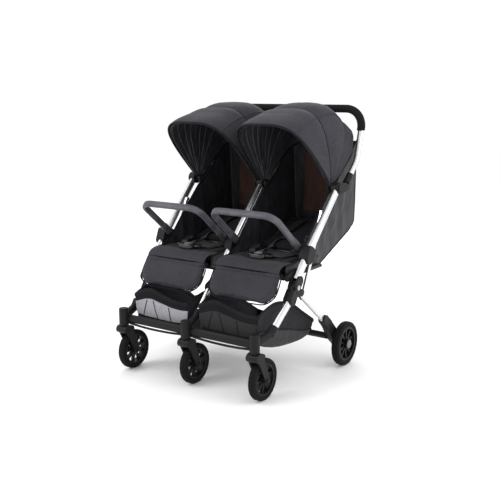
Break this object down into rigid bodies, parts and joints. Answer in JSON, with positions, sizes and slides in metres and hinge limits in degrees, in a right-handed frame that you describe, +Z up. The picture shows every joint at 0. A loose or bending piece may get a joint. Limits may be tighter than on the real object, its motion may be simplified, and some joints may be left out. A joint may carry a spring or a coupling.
{
  "type": "twin stroller",
  "caption": "Side-by-side folding twin stroller with reclining seats, folding canopies, swivel front casters, bumper bars, baskets and a folding push handle.",
  "frame": {"origin": "middle of the overall footprint, on the floor", "axes": "+Z up, -Y in the direction of travel, +X to the stroller's side that holds the seat named right"},
  "size_m": [0.763, 0.771, 1.015],
  "materials": {
    "silver_tube": "satin anodised",
    "frame_plastic": "fine moulded grain",
    "wheel_plastic": "satin moulded",
    "pin_steel": "plated",
    "dark_tube": "powder coat",
    "tyre_foam": "matt",
    "grip_foam": "matt foam",
    "canopy_cloth": "melange weave",
    "seat_cloth": "melange weave",
    "shell_cloth": "plain weave",
    "basket_cloth": "plain weave and mesh",
    "webbing": "ribbed webbing",
    "bumper_skin": "grained cover",
    "buckle_plastic": "smooth"
  },
  "bodies": {
    "chassis": {"upper_tube_right": "silver_tube", "upper_tube_left": "silver_tube", "upper_tube_centre": "silver_tube", "frame_hubs": "frame_plastic", "fold_brackets": "frame_plastic", "frame_pins": "pin_steel", "bumper_sockets": "frame_plastic", "seat_frame": "dark_tube", "seat_shell_right": "shell_cloth", "seat_shell_left": "shell_cloth", "seat_pads": "seat_cloth", "crotch_buckles": "buckle_plastic", "canopy_rear_panels": "canopy_cloth"},
    "front_frame": {"front_leg_right": "silver_tube", "front_leg_left": "silver_tube", "front_leg_centre": "silver_tube", "fold_lugs": "frame_plastic", "caster_housings": "frame_plastic", "front_cross_beams": "frame_plastic", "baskets": "basket_cloth"},
    "rear_frame": {"rear_legs": "silver_tube", "rear_knuckles": "frame_plastic", "rear_axle_bar": "dark_tube"},
    "brake": {"brake_pedal": "frame_plastic"},
    "strut_pair": {"struts": "silver_tube"},
    "handle": {"handle_ends": "frame_plastic", "handle_tube": "silver_tube", "handle_grip": "grip_foam"},
    "release_button": {"fold_button": "frame_plastic"},
    "canopy_mid_right": {"canopy_mid_right": "canopy_cloth", "canopy_bow_mid_right": "dark_tube"},
    "canopy_front_right": {"canopy_front_right": "canopy_cloth", "canopy_bow_front_right": "dark_tube"},
    "backrest_right": {"backrest_right": "seat_cloth", "shoulder_harness_right": "webbing"},
    "leg_rest_right": {"leg_rest_right": "seat_cloth"},
    "bumper_right": {"bumper_right": "bumper_skin"},
    "buckle_button_right": {"buckle_button_right": "buckle_plastic"},
    "rear_wheel_right": {"rear_rim_right": "wheel_plastic", "rear_tyre_right": "tyre_foam"},
    "canopy_mid_left": {"canopy_mid_left": "canopy_cloth", "canopy_bow_mid_left": "dark_tube"},
    "canopy_front_left": {"canopy_front_left": "canopy_cloth", "canopy_bow_front_left": "dark_tube"},
    "backrest_left": {"backrest_left": "seat_cloth", "shoulder_harness_left": "webbing"},
    "leg_rest_left": {"leg_rest_left": "seat_cloth"},
    "bumper_left": {"bumper_left": "bumper_skin"},
    "buckle_button_left": {"buckle_button_left": "buckle_plastic"},
    "rear_wheel_left": {"rear_rim_left": "wheel_plastic", "rear_tyre_left": "tyre_foam"},
    "caster_right": {"caster_fork_right": "frame_plastic"},
    "front_wheel_right": {"front_rim_right": "wheel_plastic", "front_tyre_right": "tyre_foam"},
    "caster_centre": {"caster_fork_centre": "frame_plastic"},
    "front_wheel_centre": {"front_rim_centre": "wheel_plastic", "front_tyre_centre": "tyre_foam"},
    "caster_left": {"caster_fork_left": "frame_plastic"},
    "front_wheel_left": {"front_rim_left": "wheel_plastic", "front_tyre_left": "tyre_foam"}
  },
  "joints": [
    {"name": "frame_fold", "type": "hinge", "parent": "chassis", "child": "front_frame", "pos_m": [0, -0.1605, 0.375], "axis": [1, 0, 0], "range_deg": [0, 35]},
    {"name": "rear_leg_fold", "type": "hinge", "parent": "front_frame", "child": "rear_frame", "pos_m": [0, -0.1275, 0.35], "axis": [1, 0, 0], "range_deg": [-62, 0]},
    {"name": "strut_fold", "type": "hinge", "parent": "chassis", "child": "strut_pair", "pos_m": [0, 0.0545, 0.615], "axis": [1, 0, 0], "range_deg": [-2, 0]},
    {"name": "handle_fold", "type": "hinge", "parent": "chassis", "child": "handle", "pos_m": [0, 0.1895, 0.694], "axis": [-1, 0, 0], "range_deg": [0, 118]},
    {"name": "release_press", "type": "slide", "parent": "handle", "child": "release_button", "axis": [0, 0, 1], "range_m": [0, 0.004], "stiffness_N_per_m": 300},
    {"name": "brake_press", "type": "hinge", "parent": "rear_frame", "child": "brake", "pos_m": [0, 0.1355, 0.128], "axis": [-1, 0, 0], "range_deg": [0, 18]},
    {"name": "canopy_mid_turn_right", "type": "hinge", "parent": "chassis", "child": "canopy_mid_right", "pos_m": [0.1625, 0.1315, 0.694], "axis": [-1, 0, 0], "range_deg": [0, 36]},
    {"name": "canopy_front_turn_right", "type": "hinge", "parent": "canopy_mid_right", "child": "canopy_front_right", "pos_m": [0.1625, 0.1315, 0.694], "axis": [-1, 0, 0], "range_deg": [0, 22]},
    {"name": "recline_right", "type": "hinge", "parent": "chassis", "child": "backrest_right", "pos_m": [0.1625, 0.0615, 0.445], "axis": [1, 0, 0], "range_deg": [0, 42]},
    {"name": "leg_rest_tilt_right", "type": "hinge", "parent": "chassis", "child": "leg_rest_right", "pos_m": [0.1625, -0.1985, 0.432], "axis": [1, 0, 0], "range_deg": [-50, 0]},
    {"name": "bumper_tilt_right", "type": "hinge", "parent": "chassis", "child": "bumper_right", "pos_m": [0.1625, -0.0785, 0.497], "axis": [1, 0, 0], "range_deg": [-45, 20]},
    {"name": "buckle_press_right", "type": "slide", "parent": "chassis", "child": "buckle_button_right", "axis": [0, 0, -1], "range_m": [0, 0.003], "stiffness_N_per_m": 400},
    {"name": "rear_wheel_spin_right", "type": "hinge", "parent": "rear_frame", "child": "rear_wheel_right", "pos_m": [0.362, 0.1725, 0.086], "axis": [1, 0, 0], "continuous": true},
    {"name": "canopy_mid_turn_left", "type": "hinge", "parent": "chassis", "child": "canopy_mid_left", "pos_m": [-0.1625, 0.1315, 0.694], "axis": [-1, 0, 0], "range_deg": [0, 36]},
    {"name": "canopy_front_turn_left", "type": "hinge", "parent": "canopy_mid_left", "child": "canopy_front_left", "pos_m": [-0.1625, 0.1315, 0.694], "axis": [-1, 0, 0], "range_deg": [0, 22]},
    {"name": "recline_left", "type": "hinge", "parent": "chassis", "child": "backrest_left", "pos_m": [-0.1625, 0.0615, 0.445], "axis": [1, 0, 0], "range_deg": [0, 42]},
    {"name": "leg_rest_tilt_left", "type": "hinge", "parent": "chassis", "child": "leg_rest_left", "pos_m": [-0.1625, -0.1985, 0.432], "axis": [1, 0, 0], "range_deg": [-50, 0]},
    {"name": "bumper_tilt_left", "type": "hinge", "parent": "chassis", "child": "bumper_left", "pos_m": [-0.1625, -0.0785, 0.497], "axis": [1, 0, 0], "range_deg": [-45, 20]},
    {"name": "buckle_press_left", "type": "slide", "parent": "chassis", "child": "buckle_button_left", "axis": [0, 0, -1], "range_m": [0, 0.003], "stiffness_N_per_m": 400},
    {"name": "rear_wheel_spin_left", "type": "hinge", "parent": "rear_frame", "child": "rear_wheel_left", "pos_m": [-0.362, 0.1725, 0.086], "axis": [1, 0, 0], "continuous": true},
    {"name": "caster_swivel_right", "type": "hinge", "parent": "front_frame", "child": "caster_right", "pos_m": [0.297, -0.3605, 0.2], "axis": [0, 0, 1], "continuous": true},
    {"name": "front_wheel_spin_right", "type": "hinge", "parent": "caster_right", "child": "front_wheel_right", "pos_m": [0.297, -0.3105, 0.075], "axis": [1, 0, 0], "continuous": true},
    {"name": "caster_swivel_centre", "type": "hinge", "parent": "front_frame", "child": "caster_centre", "pos_m": [0, -0.3605, 0.2], "axis": [0, 0, 1], "continuous": true},
    {"name": "front_wheel_spin_centre", "type": "hinge", "parent": "caster_centre", "child": "front_wheel_centre", "pos_m": [0, -0.3105, 0.075], "axis": [1, 0, 0], "continuous": true},
    {"name": "caster_swivel_left", "type": "hinge", "parent": "front_frame", "child": "caster_left", "pos_m": [-0.297, -0.3605, 0.2], "axis": [0, 0, 1], "continuous": true},
    {"name": "front_wheel_spin_left", "type": "hinge", "parent": "caster_left", "child": "front_wheel_left", "pos_m": [-0.297, -0.3105, 0.075], "axis": [1, 0, 0], "continuous": true}
  ],
  "couplings": [
    {"joint": "rear_leg_fold", "follows": "frame_fold", "ratio": -1.76},
    {"joint": "strut_fold", "follows": "frame_fold", "ratio": -0.055},
    {"joint": "canopy_front_turn_right", "follows": "canopy_mid_turn_right", "ratio": 0.6},
    {"joint": "canopy_front_turn_left", "follows": "canopy_mid_turn_left", "ratio": 0.6}
  ]
}
